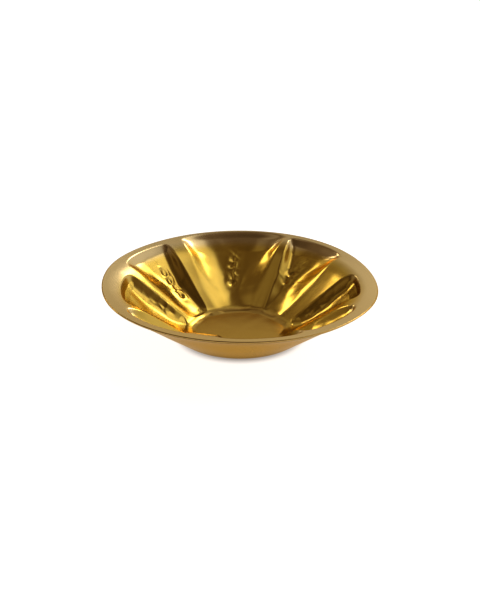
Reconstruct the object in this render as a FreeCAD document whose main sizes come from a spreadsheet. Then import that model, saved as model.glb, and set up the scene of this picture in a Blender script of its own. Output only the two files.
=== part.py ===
import FreeCAD, Part
import math
import os

import Sketcher

# A double-walled brass bowl.  The outer skin is a plain cone on a flat base.  The inner skin is a
# liner with eight pockets pressed outwards until they almost touch the outer skin, and ridges left
# standing between them.  The two skins meet at the rim, where a brazed bead closes the seam.
# Millimetres, +Z up, origin at the centre of the plane that the felt feet rest on.
# Azimuth is counted in degrees from +Y (the back) towards +X (the right).

Vector = FreeCAD.Vector

SIZES = {
    "rim_radius": 200.0,        # outside of the bead
    "rim_height": 85.0,         # top of the rim where it is level
    "edge_inset": 1.4,          # bead thickness outside the edges of the two skins
    "rim_stack": 2.4,           # height of the two sheet edges at the rim
    "sheet": 1.0,               # thickness of each skin
    "skin_gap": 0.6,            # least air gap between a pocket and the outer skin
    "base_height": 2.0,         # underside of the base, on its felt feet
    "foot_radius": 87.0,        # where the cone would meet the base plane
    "foot_round": 6.0,          # how softly the cone turns into the base
    "wall_hollow": 1.0,         # how far the cone curves in from a straight line
    "bend_radius": 130.0,       # outside this radius the walls follow the wavy rim
    "flange_slope": 8.0,        # degrees, the plain lip round the mouth
    "flange_round": 12.0,       # how softly the lip turns down into the wall
    "ridge_slope": 36.5,        # degrees, the ridges between the pockets
    "floor_height": 9.0,        # top of the flat floor
    "floor_round": 4.0,         # how softly the ridges run out on the floor
    "ridge_foot": 68.0,         # where a ridge would meet the floor with no pocket beside it
    "crest_height": 1.4,        # raised line round the floor
    "crest_width": 4.5,         # half the width of that line
    "pocket_floor": 6.6,        # lowest level of a pocket
    "pocket_slope": 0.54,       # rise of a pocket's deepest line for each millimetre outwards
    "foot_drop": 1.6,           # how far that line starts below the floor
    "pit_drop": 3.0,            # how much deeper a pocket is at its pit
    "pit_reach": 22.0,          # how far from the pit that carries
    "toe": 12.0,                # width of the rounding at a pocket's foot
    "wall": 10.0,               # and of the steep wall at its top
    "edge_round": 0.26,         # how softly a pocket's edge turns over, as a share of its depth
    "steepness": 1.25,          # above 1 the sides stand steeper and the bottom lies flatter
    "steepening": 2.0,          # how much that grows from the pit to the top
    "sharp": 0.10,              # half width of the fold at its sharpest, in half pockets
    "blunt": 1.6,               # how much that grows away from the pit
    "fold_reach": 55.0,         # over this distance
    "vent_radius": 3.0,         # vent hole in the base
    "plug_head_radius": 5.0,
    "plug_head_height": 0.9,
    "plug_barb_radius": 3.6,
    "plug_barb_height": 1.6,
    "plug_tip_radius": 2.16,
    "felt_radius": 8.0,
    "felt_circle": 62.0,         # radius of the circle that the felt feet stand on
    "felt_edge": 0.4,            # rounding of each lower edge
}

# Each pocket: azimuth of its middle, how far its axis leans from foot to top, half widths at its
# foot and top (degrees), radii of its foot, top and pit, how far its deepest line lies from the axis
# (half widths), and how tightly the sheet gathered there.
POCKETS = (
    (-93.0, -2.0, 18.0, 19.0, 77.0, 172.0, 104.0, 0.20, 0.7),
    (-54.0, 3.0, 15.0, 15.0, 72.0, 188.0, 131.0, 0.55, 1.2),
    (-5.0, 4.0, 22.5, 25.5, 64.0, 196.0, 106.0, 0.00, 1.0),
    (42.5, -5.0, 14.5, 15.5, 63.0, 190.0, 126.0, -0.50, 1.2),
    (89.0, 0.0, 13.5, 14.0, 76.0, 174.0, 104.0, -0.20, 0.8),
    (131.0, 2.0, 17.0, 19.0, 74.0, 182.0, 118.0, 0.10, 0.7),
    (172.0, -3.0, 17.0, 19.0, 72.0, 186.0, 110.0, -0.10, 0.7),
    (-139.0, 3.0, 17.0, 20.0, 74.0, 184.0, 114.0, 0.15, 0.7),
)
POCKET_FIELDS = ("middle", "lean", "foot_half", "top_half", "foot", "top", "pit", "shift", "gather")

# Each swing of the rim out of its plane: middle (degrees), spread (degrees), height.
RIM_SWINGS = (
    (88.0, 24.0, -7.5),
    (-112.0, 15.0, -1.4),
    (-75.0, 15.0, 2.5),
    (150.0, 18.0, -2.2),
)
SWING_FIELDS = ("middle", "spread", "height")

AROUND = 120                    # control points round each ring
DEGREE = 3
FLOOR_RING = 44.0               # the floor is a plain disc inside this radius
BASE_RING = 64.0                # and so is the base
FELT_COUNT = 4
STACK_SHEETS = 2.5              # room for two sheets on a slope, in sheet thicknesses
PEAK_SCALE = 6.75               # makes the highest value of x * x * (1 - x) equal to 1
RIDGE_WEIGHT = 0.35             # how strongly a ridge pulls the floor's outline outwards
CREST_SPREAD = 0.6              # how far a pocket pulls it inwards, in half widths
INNER_STEP = 4.0                # furthest apart that two rings of the inner skin lie
OUTER_STEP = 4.5                # and of the outer skin
BEAD_SHOULDER = 0.75            # width of the bead's flat shoulder, in insets of the skins' edges
SEAM = 0.001                    # faces this close are sewn together

NODES = []


def write_sheet(doc):
    """Puts every driving dimension in the spreadsheet, one row each."""
    sheet = doc.addObject("Spreadsheet::Sheet", "Sizes")
    rows = list(SIZES.items())
    for number, pocket in enumerate(POCKETS, 1):
        rows += [(f"pocket_{number}_{field}", value) for field, value in zip(POCKET_FIELDS, pocket)]
    for number, swing in enumerate(RIM_SWINGS, 1):
        rows += [(f"swing_{number}_{field}", value) for field, value in zip(SWING_FIELDS, swing)]
    for row, (name, value) in enumerate(rows, 1):
        sheet.set(f"A{row}", name)
        sheet.set(f"B{row}", str(value))
        sheet.setAlias(f"B{row}", name)
    doc.recompute()
    return sheet


def size(name):
    """Reads one driving dimension back from the spreadsheet."""
    return float(doc.Sizes.get(name))


def read_rows(prefix, count, fields):
    """Reads the numbered rows of one kind, such as the pockets."""
    numbers = range(1, count + 1)
    return [tuple(size(f"{prefix}_{number}_{field}") for field in fields) for number in numbers]


# ---- the form of the bowl ------------------------------------------------------------------------

def soft_min(first, second, width):
    """The lower of two heights, rounded over where they are closer than width."""
    share = min(max(0.5 + 0.5 * (second - first) / width, 0.0), 1.0)
    return second + (first - second) * share - width * share * (1.0 - share)


def soft_max(first, second, width):
    """The higher of two heights, rounded where they are closer than width."""
    return -soft_min(-first, -second, width)


def turn_between(azimuth, middle):
    """Signed angle from middle to azimuth, in degrees, the short way round."""
    return (azimuth - middle + 180.0) % 360.0 - 180.0


def rim_lift(azimuth):
    """How far the rim stands above or below its level plane."""
    return sum(
        height * math.exp(-0.5 * (turn_between(azimuth, middle) / spread) ** 2)
        for middle, spread, height in swings
    )


def rim_inside(radius):
    """0 at the bend radius and 1 at the rim."""
    return min(max((radius - bend_radius) / (rim_radius - bend_radius), 0.0), 1.0)


def outer_height(radius, azimuth):
    """Outside face of the outer skin."""
    slope = (rim_height - rim_stack - base_height) / (rim_radius - foot_radius)
    inside = rim_inside(radius)
    hollow = wall_hollow * PEAK_SCALE * inside * inside * (1.0 - inside)
    cone = base_height + (radius - foot_radius) * slope + hollow + rim_lift(azimuth) * inside * inside
    return soft_max(cone, base_height, foot_round)


def crest_radius(azimuth):
    """The floor's outline: nearer the middle below each pocket, further out below each ridge."""
    pull = RIDGE_WEIGHT * ridge_foot
    weight = RIDGE_WEIGHT
    for middle, lean, foot_half, _, foot, _, _, _, _ in pockets:
        turn = turn_between(azimuth, middle - 0.5 * lean)
        near = math.exp(-0.5 * (turn / (CREST_SPREAD * foot_half)) ** 2)
        pull += near * foot
        weight += near
    return pull / weight


def plain_height(radius, azimuth):
    """Inside face of the inner skin where nothing is pressed out: lip, ridge and floor."""
    lip = rim_height - (rim_radius - radius) * math.tan(math.radians(flange_slope))
    lip += rim_lift(azimuth) * rim_inside(radius) ** 2
    ridge = floor_height + (radius - crest_radius(azimuth)) * math.tan(math.radians(ridge_slope))
    return soft_max(soft_min(lip, ridge, flange_round), floor_height, floor_round)


def lowest_height(radius, azimuth):
    """Lowest the liner's inside face can go, over the outer skin and the floor of the bowl."""
    return max(outer_height(radius, azimuth) + STACK_SHEETS * sheet_metal + skin_gap, pocket_floor)


def pocket_share(pocket, radius, azimuth):
    """0 outside one pocket and 1 along its deepest line."""
    middle, lean, foot_half, top_half, foot, top, pit, shift, gather = pocket
    rise = (radius - foot) / (top - foot)
    half = foot_half + (top_half - foot_half) * min(max(rise, 0.0), 1.0)
    side = turn_between(azimuth, middle + lean * (rise - 0.5)) / half - shift
    aside = side / (1.0 - shift if side > 0.0 else 1.0 + shift)
    away = math.hypot(radius - pit, pit_reach) - pit_reach
    softness = sharp + blunt * away / fold_reach + max(1.0 - gather, 0.0)
    arch = (math.hypot(aside, softness) - softness) / (math.hypot(1.0, softness) - softness)
    above = min(max((radius - pit) / (top - pit), 0.0), 1.0)
    side_fall = arch ** (steepness + steepening * above)
    low = max(1.0 - (radius - foot) / toe, 0.0)
    high = max(1.0 - (top - radius) / wall, 0.0)
    return soft_max(1.0 - side_fall - low * low - high * high, 0.0, edge_round)


def pocket_bottom(pocket, radius, azimuth):
    """Height of one pocket's deepest line: a straight slope, lower round its pit."""
    _, _, _, _, foot, _, pit, _, gather = pocket
    slope = floor_height - foot_drop + (radius - foot) * pocket_slope
    dip = pit_drop * math.exp(-((radius - pit) / pit_reach) ** 2) * gather
    return max(slope - dip, lowest_height(radius, azimuth))


def inner_height(radius, azimuth):
    """Inside face of the inner skin."""
    plain = plain_height(radius, azimuth)
    dent = 0.0
    for pocket in pockets:
        share = pocket_share(pocket, radius, azimuth)
        if share > 0.0:
            dent = max(dent, share * max(plain - pocket_bottom(pocket, radius, azimuth), 0.0))
    away = (radius - crest_radius(azimuth)) / crest_width
    height = plain - dent + crest_height * math.exp(-away * away)
    return max(height, lowest_height(radius, azimuth))


def below(height, radius, azimuth):
    """Vertical distance between the two faces of a sheet that is one sheet thick square to itself."""
    step = 0.5
    along = (height(radius + step, azimuth) - height(radius - step, azimuth)) / (2.0 * step)
    turn = math.degrees(step / radius)
    across = (height(radius, azimuth + turn) - height(radius, azimuth - turn)) / (2.0 * step)
    return sheet_metal * math.sqrt(1.0 + along * along + across * across)


# ---- rings, faces and solids ---------------------------------------------------------------------

def ring(radius, height):
    """Control points of one closed ring; height is a function of azimuth."""
    spread = 3.0 / (2.0 + math.cos(2.0 * math.pi / AROUND))
    points = []
    for index in range(AROUND):
        azimuth = 360.0 * index / AROUND
        angle = math.radians(azimuth)
        reach = radius * spread
        points.append(Vector(reach * math.sin(angle), reach * math.cos(angle), height(azimuth)))
    return points


def spaced_radii(first, last, coarse):
    """Radii from first to last, no further apart than coarse."""
    count = max(int(math.ceil((last - first) / coarse)), 1)
    return [first + (last - first) * index / count for index in range(count + 1)]


def skin_face(rings):
    """One smooth closed band through the rings, its first and last ring kept as its edges."""
    count = len(rings)
    along_knots = [float(index) for index in range(count - DEGREE + 1)]
    along_mults = [DEGREE + 1] + [1] * (len(along_knots) - 2) + [DEGREE + 1]
    around_knots = [float(index) for index in range(AROUND + 1)]
    around_mults = [1] * (AROUND + 1)
    surface = Part.BSplineSurface()
    surface.buildFromPolesMultsKnots(
        rings, along_mults, around_mults, along_knots, around_knots, False, True, DEGREE, DEGREE)
    return surface.toShape()


def ring_edge(points):
    """The closed edge that a band has along one of its end rings."""
    curve = Part.BSplineCurve()
    knots = [float(index) for index in range(AROUND + 1)]
    curve.buildFromPolesMultsKnots(points, [1] * (AROUND + 1), knots, True, DEGREE)
    return curve.toShape()


def disc_face(points):
    """A flat disc inside a level ring."""
    return Part.Face(Part.Wire(ring_edge(points)))


def band_face(first, second):
    """The narrow straight band between two rings."""
    return Part.makeRuledSurface(ring_edge(first), ring_edge(second))


def closed_solid(faces):
    """Sews faces that share their edges into one solid, the right way out."""
    sewn = Part.Compound(faces)
    sewn.sewShape(SEAM)
    solid = Part.Solid(sewn.Shells[0])
    if solid.Volume < 0.0:
        solid.reverse()
    solid.fix(SEAM, SEAM, SEAM)
    return solid


def add_shape(name, shape):
    """Adds one piece whose shape no parametric feature can make."""
    piece = doc.addObject("Part::Feature", name)
    piece.Label = name
    piece.Shape = shape
    piece.Placement = FreeCAD.Placement()
    return piece


def keep(piece, name):
    """Lists a finished piece under the name of its file."""
    piece.Label = name
    NODES.append((name, piece))


def build_skins():
    """The two sheet-metal skins and the bead that joins them at the rim."""
    edge_radius = rim_radius - edge_inset
    top_edge = ring(edge_radius, lambda azimuth: inner_height(edge_radius, azimuth))
    low_edge = ring(edge_radius, lambda azimuth: outer_height(edge_radius, azimuth))

    def seam_height(azimuth):
        return outer_height(edge_radius, azimuth) + below(outer_height, edge_radius, azimuth)

    seam = ring(edge_radius, seam_height)

    def sheet_ring(height, radius, sign):
        return ring(
            radius,
            lambda azimuth: height(radius, azimuth) + sign * below(height, radius, azimuth))

    def plain_ring(height, radius):
        return ring(radius, lambda azimuth: height(radius, azimuth))

    inner_radii = spaced_radii(FLOOR_RING, edge_radius, INNER_STEP)
    liner_top = [plain_ring(inner_height, radius) for radius in inner_radii[:-1]] + [top_edge]
    liner_low = [sheet_ring(inner_height, radius, -1.0) for radius in inner_radii[:-1]] + [seam]
    inner = closed_solid([
        skin_face(liner_top), skin_face(liner_low), disc_face(liner_top[0]), disc_face(liner_low[0]),
        band_face(top_edge, seam)])
    keep(add_shape("inner_skin", inner), "inner_skin")

    outer_radii = spaced_radii(BASE_RING, edge_radius, OUTER_STEP)
    wall_low = [plain_ring(outer_height, radius) for radius in outer_radii[:-1]] + [low_edge]
    wall_top = [sheet_ring(outer_height, radius, 1.0) for radius in outer_radii[:-1]] + [seam]
    blank = add_shape("outer_skin_blank", closed_solid([
        skin_face(wall_low), skin_face(wall_top), disc_face(wall_low[0]), disc_face(wall_top[0]),
        band_face(seam, low_edge)]))

    drill = doc.addObject("Part::Cylinder", "vent_drill")
    drill.setExpression("Radius", "Sizes.vent_radius")
    drill.setExpression("Height", "Sizes.base_height + 2 * Sizes.sheet")
    outer = doc.addObject("Part::Cut", "outer_skin")
    outer.Base = blank
    outer.Tool = drill
    keep(outer, "outer_skin")

    def bead_ring(outwards, share):
        radius = edge_radius + outwards
        return ring(radius, lambda azimuth: (
            inner_height(edge_radius, azimuth) * (1.0 - share)
            + outer_height(edge_radius, azimuth) * share))

    shoulder = BEAD_SHOULDER * edge_inset
    nose = 2.0 * edge_inset - shoulder
    bead = [
        top_edge, bead_ring(shoulder, 0.0), bead_ring(nose, 0.5), bead_ring(shoulder, 1.0), low_edge]
    bead_solid = closed_solid([skin_face(bead), band_face(top_edge, low_edge)])
    keep(add_shape("rim_bead", bead_solid), "rim_bead")


def origin_plane(body, role):
    """One of a body's own origin planes."""
    return next(item for item in body.Origin.OriginFeatures if item.Role == role)


def build_plug():
    """Rubber plug: a thin head under the base, a stem through the hole and a barb above it."""
    body = doc.addObject("PartDesign::Body", "vent_plug")
    sketch = body.newObject("Sketcher::SketchObject", "plug_profile")
    sketch.AttachmentSupport = (origin_plane(body, "XZ_Plane"), [""])
    sketch.MapMode = "FlatFace"
    head, stem, barb = plug_head_radius, vent_radius, plug_barb_radius
    low = base_height - plug_head_height
    base_top = base_height + sheet_metal
    tip = base_top + plug_barb_height
    corners = [
        (0.0, low), (head, low), (head, base_height), (stem, base_height), (stem, base_top),
        (barb, base_top), (plug_tip_radius, tip), (0.0, tip)]
    points = [Vector(across, up, 0.0) for across, up in corners]
    for index, point in enumerate(points):
        sketch.addGeometry(Part.LineSegment(point, points[(index + 1) % len(points)]), False)
    count = len(points)
    for index in range(count):
        sketch.addConstraint(Sketcher.Constraint("Coincident", index, 2, (index + 1) % count, 1))
    sketch.addConstraint(Sketcher.Constraint("PointOnObject", 0, 1, -2))
    for index in (0, 2, 4, 6):
        sketch.addConstraint(Sketcher.Constraint("Horizontal", index))
    for index in (1, 3, 7):
        sketch.addConstraint(Sketcher.Constraint("Vertical", index))
    drivers = (
        ("head_radius", "DistanceX", 0, 1, 0, 2, head, "Sizes.plug_head_radius"),
        ("stem_radius", "DistanceX", 7, 2, 3, 1, stem, "Sizes.vent_radius"),
        ("barb_radius", "DistanceX", 7, 2, 4, 2, barb, "Sizes.plug_barb_radius"),
        ("tip_radius", "DistanceX", 6, 2, 6, 1, plug_tip_radius, "Sizes.plug_tip_radius"),
        ("head_height", "DistanceY", 1, 1, 1, 2, plug_head_height, "Sizes.plug_head_height"),
        ("stem_height", "DistanceY", 3, 1, 3, 2, sheet_metal, "Sizes.sheet"),
        ("barb_height", "DistanceY", 4, 2, 6, 1, plug_barb_height, "Sizes.plug_barb_height"),
    )
    for name, kind, first, first_end, second, second_end, value, source in drivers:
        index = sketch.addConstraint(
            Sketcher.Constraint(kind, first, first_end, second, second_end, value))
        sketch.renameConstraint(index, name)
        sketch.setExpression(f"Constraints.{name}", source)
    level = sketch.addConstraint(Sketcher.Constraint("DistanceY", -1, 1, 0, 1, low))
    sketch.renameConstraint(level, "head_level")
    sketch.setExpression("Constraints.head_level", "Sizes.base_height - Sizes.plug_head_height")
    turned = body.newObject("PartDesign::Revolution", "plug_turned")
    turned.Profile = sketch
    turned.ReferenceAxis = (sketch, ["V_Axis"])
    turned.Angle = 360.0
    keep(body, "vent_plug")


def build_felt_feet():
    """Round felt feet under the base, evenly spaced on one circle."""
    for number in range(1, FELT_COUNT + 1):
        angle = math.radians(45.0 + 360.0 * (number - 1) / FELT_COUNT)
        body = doc.addObject("PartDesign::Body", f"felt_foot_{number}")
        sketch = body.newObject("Sketcher::SketchObject", f"felt_outline_{number}")
        sketch.AttachmentSupport = (origin_plane(body, "XY_Plane"), [""])
        sketch.MapMode = "FlatFace"
        sketch.addGeometry(Part.Circle(Vector(), Vector(0.0, 0.0, 1.0), felt_radius), False)
        sketch.addConstraint(Sketcher.Constraint("Coincident", 0, 3, -1, 1))
        index = sketch.addConstraint(Sketcher.Constraint("Radius", 0, felt_radius))
        sketch.renameConstraint(index, "felt_radius")
        sketch.setExpression("Constraints.felt_radius", "Sizes.felt_radius")
        disc = body.newObject("PartDesign::Pad", f"felt_disc_{number}")
        disc.Profile = sketch
        disc.setExpression("Length", "Sizes.base_height")
        doc.recompute()
        lower = [
            f"Edge{index}" for index, edge in enumerate(disc.Shape.Edges, 1)
            if edge.BoundBox.ZMax < 0.001 and edge.Closed]
        softened = body.newObject("PartDesign::Fillet", f"felt_softened_{number}")
        softened.Base = (disc, lower)
        softened.setExpression("Radius", "Sizes.felt_edge")
        centre = Vector(felt_circle * math.cos(angle), felt_circle * math.sin(angle), 0.0)
        body.Placement = FreeCAD.Placement(centre, FreeCAD.Rotation())
        keep(body, f"felt_foot_{number}")


def check_and_write():
    """Stops on any failed object, then writes one STEP file for each piece."""
    doc.recompute()
    for item in doc.Objects:
        if "Invalid" in item.State or "Error" in item.State:
            raise SystemExit(f"{item.Label} failed: {item.State}")
    os.makedirs("parts", exist_ok=True)
    for name, piece in NODES:
        shape = piece.Shape
        if shape.isNull() or not shape.isValid() or len(shape.Solids) != 1:
            raise SystemExit(f"{name} is not one valid solid")
        shape.exportStep(f"parts/{name}.step")
        box = shape.BoundBox
        print(f"{name}: volume {shape.Volume:.0f} mm3, {box.XLength:.1f} x {box.YLength:.1f}"
              f" x {box.ZLength:.1f} mm, from z {box.ZMin:.2f} to {box.ZMax:.2f}")


doc = FreeCAD.newDocument("bowl")
write_sheet(doc)
pockets = read_rows("pocket", len(POCKETS), POCKET_FIELDS)
swings = read_rows("swing", len(RIM_SWINGS), SWING_FIELDS)
rim_radius = size("rim_radius")
rim_height = size("rim_height")
edge_inset = size("edge_inset")
rim_stack = size("rim_stack")
sheet_metal = size("sheet")
skin_gap = size("skin_gap")
base_height = size("base_height")
foot_radius = size("foot_radius")
foot_round = size("foot_round")
wall_hollow = size("wall_hollow")
bend_radius = size("bend_radius")
flange_slope = size("flange_slope")
flange_round = size("flange_round")
ridge_slope = size("ridge_slope")
ridge_foot = size("ridge_foot")
floor_height = size("floor_height")
floor_round = size("floor_round")
crest_height = size("crest_height")
crest_width = size("crest_width")
pocket_floor = size("pocket_floor")
pocket_slope = size("pocket_slope")
foot_drop = size("foot_drop")
pit_drop = size("pit_drop")
pit_reach = size("pit_reach")
toe = size("toe")
wall = size("wall")
edge_round = size("edge_round")
steepness = size("steepness")
steepening = size("steepening")
sharp = size("sharp")
blunt = size("blunt")
fold_reach = size("fold_reach")
vent_radius = size("vent_radius")
plug_head_radius = size("plug_head_radius")
plug_head_height = size("plug_head_height")
plug_barb_radius = size("plug_barb_radius")
plug_barb_height = size("plug_barb_height")
plug_tip_radius = size("plug_tip_radius")
felt_radius = size("felt_radius")
felt_circle = size("felt_circle")

build_skins()
build_plug()
build_felt_feet()
check_and_write()
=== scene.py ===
import logging
import math
from dataclasses import asdict, dataclass, field
from enum import Enum
from typing import ClassVar, Optional, Sequence, Union

import bpy
import numpy as np
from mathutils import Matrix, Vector


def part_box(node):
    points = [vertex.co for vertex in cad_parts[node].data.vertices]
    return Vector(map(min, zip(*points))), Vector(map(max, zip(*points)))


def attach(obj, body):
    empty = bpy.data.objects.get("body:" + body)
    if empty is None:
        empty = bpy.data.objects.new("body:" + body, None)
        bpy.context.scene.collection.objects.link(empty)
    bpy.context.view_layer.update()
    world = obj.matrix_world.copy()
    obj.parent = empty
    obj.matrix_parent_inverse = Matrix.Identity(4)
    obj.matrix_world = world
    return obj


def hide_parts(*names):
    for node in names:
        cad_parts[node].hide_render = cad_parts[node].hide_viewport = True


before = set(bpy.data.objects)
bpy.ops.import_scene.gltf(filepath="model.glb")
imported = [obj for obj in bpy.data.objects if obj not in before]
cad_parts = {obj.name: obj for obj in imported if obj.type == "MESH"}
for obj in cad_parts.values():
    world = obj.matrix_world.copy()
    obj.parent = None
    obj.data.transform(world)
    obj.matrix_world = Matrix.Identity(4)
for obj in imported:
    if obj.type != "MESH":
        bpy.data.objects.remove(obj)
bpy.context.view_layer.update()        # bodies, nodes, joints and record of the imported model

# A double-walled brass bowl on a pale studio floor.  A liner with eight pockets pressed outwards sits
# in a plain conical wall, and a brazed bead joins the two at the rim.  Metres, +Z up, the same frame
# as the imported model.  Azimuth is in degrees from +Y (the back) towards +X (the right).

LOG = logging.getLogger("bowl")
BODY = "root"
PEAK_SCALE = 6.75          # makes the highest value of x * x * (1 - x) equal to 1
MIX_FIRST, MIX_SECOND, MIX_RESULT = 6, 7, 2     # the Mix node's sockets for colours

Array = np.ndarray
Number = Union[float, Array]


# ---- node trees ----

class Term:
    """An output socket of a node tree that takes part in sums as a number does."""

    def __init__(self, graph: "Graph", socket: bpy.types.NodeSocket) -> None:
        self.graph = graph
        self.socket = socket

    def _sum(self, operation: str, *others: "TermLike") -> "Term":
        """Adds a Math node.

        Args:
            operation: the Math node's operation.
            others: what fills its inputs, in order.

        Returns:
            The node's result.
        """
        inputs = dict(enumerate(others))
        return self.graph.add("ShaderNodeMath", {"operation": operation}, inputs)

    def __add__(self, other: "TermLike") -> "Term":
        """self + other."""
        return self._sum("ADD", self, other)

    __radd__ = __add__

    def __sub__(self, other: "TermLike") -> "Term":
        """self - other."""
        return self._sum("SUBTRACT", self, other)

    def __rsub__(self, other: "TermLike") -> "Term":
        """other - self."""
        return self._sum("SUBTRACT", other, self)

    def __mul__(self, other: "TermLike") -> "Term":
        """self * other."""
        return self._sum("MULTIPLY", self, other)

    __rmul__ = __mul__

    def __truediv__(self, other: "TermLike") -> "Term":
        """self / other."""
        return self._sum("DIVIDE", self, other)

    def __rtruediv__(self, other: "TermLike") -> "Term":
        """other / self."""
        return self._sum("DIVIDE", other, self)

    def __neg__(self) -> "Term":
        """-self."""
        return self._sum("MULTIPLY", self, -1.0)

    def __gt__(self, other: "TermLike") -> "Term":
        """1 where self is more than other, else 0."""
        return self._sum("GREATER_THAN", self, other)

    def __abs__(self) -> "Term":
        """The size of self."""
        return self._sum("ABSOLUTE", self)

    def function(self, operation: str, *others: "TermLike") -> "Term":
        """Any other operation of the Math node, such as SINE or WRAP."""
        return self._sum(operation, self, *others)

    def clamped(self, low: float = 0.0, high: float = 1.0) -> "Term":
        """self held between low and high."""
        return self._sum("MINIMUM", self._sum("MAXIMUM", self, low), high)

    def smooth(self, low: float = 0.0, high: float = 1.0) -> "Term":
        """0 at low, 1 at high and level at both."""
        share = ((self - low) / (high - low)).clamped()
        return share * share * (3.0 - 2.0 * share)


TermLike = Union[Term, float, Sequence[float], str]


class Graph:
    """A shader, world or geometry node tree being built."""

    def __init__(self, tree: bpy.types.NodeTree) -> None:
        self.tree = tree

    def make(self, kind: str, settings: Optional[dict] = None,
             inputs: Optional[dict] = None) -> bpy.types.Node:
        """Adds one node.

        Args:
            kind: the node's type name.
            settings: properties set before anything is linked.
            inputs: what each input socket, by name or number, is linked or set to.

        Returns:
            The node.
        """
        node = self.tree.nodes.new(kind)
        for name, value in (settings or {}).items():
            setattr(node, name, value)
        self.feed(node, inputs or {})
        return node

    def feed(self, node: bpy.types.Node, inputs: dict) -> None:
        """Links a node's inputs, by name or number, to terms or sets them to plain values."""
        for key, value in inputs.items():
            if isinstance(value, Term):
                self.tree.links.new(value.socket, node.inputs[key])
            else:
                node.inputs[key].default_value = value

    def split(self, vector: Term) -> tuple[Term, Term, Term]:
        """The three parts of a vector."""
        node = self.make("ShaderNodeSeparateXYZ", {}, {"Vector": vector})
        return Term(self, node.outputs[0]), Term(self, node.outputs[1]), Term(self, node.outputs[2])

    def add(self, kind: str, settings: Optional[dict] = None, inputs: Optional[dict] = None,
            result: Union[int, str] = 0) -> Term:
        """Adds one node and wraps one of its outputs.

        Args:
            kind: the node's type name.
            settings: properties set before anything is linked.
            inputs: what each input socket is linked or set to.
            result: the output wanted, by name or number.

        Returns:
            That output.
        """
        return Term(self, self.make(kind, settings, inputs).outputs[result])

    def noise(self, where: Term, scale: float, detail: float = 2.0, roughness: float = 0.5,
              distortion: float = 0.0) -> Term:
        """Cloudy noise between 0 and 1, scale being cells to the metre."""
        inputs = {"Vector": where, "Scale": scale, "Detail": detail, "Roughness": roughness,
                  "Distortion": distortion}
        return self.add("ShaderNodeTexNoise", {}, inputs, "Fac")

    def blend(self, share: TermLike, first: TermLike, second: TermLike) -> Term:
        """A colour between first and second."""
        inputs = {"Factor": share, MIX_FIRST: first, MIX_SECOND: second}
        return self.add("ShaderNodeMix", {"data_type": "RGBA"}, inputs, MIX_RESULT)


# ---- finishes ----

def rgba(red: float, green: float, blue: float) -> tuple[float, float, float, float]:
    """An opaque linear colour."""
    return (red, green, blue, 1.0)


def new_material(name: str) -> tuple[bpy.types.Material, Graph, bpy.types.Node, Term]:
    """A material with only its Principled shader.

    Args:
        name: the material's name.

    Returns:
        The material, its graph, the shader node and the place on the object.
    """
    material = bpy.data.materials.new(name)
    material.use_nodes = True
    graph = Graph(material.node_tree)
    material.node_tree.nodes.clear()
    shader = graph.make("ShaderNodeBsdfPrincipled")
    graph.make("ShaderNodeOutputMaterial", {}, {"Surface": Term(graph, shader.outputs[0])})
    return material, graph, shader, graph.add("ShaderNodeTexCoord", {}, {}, "Object")


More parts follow.
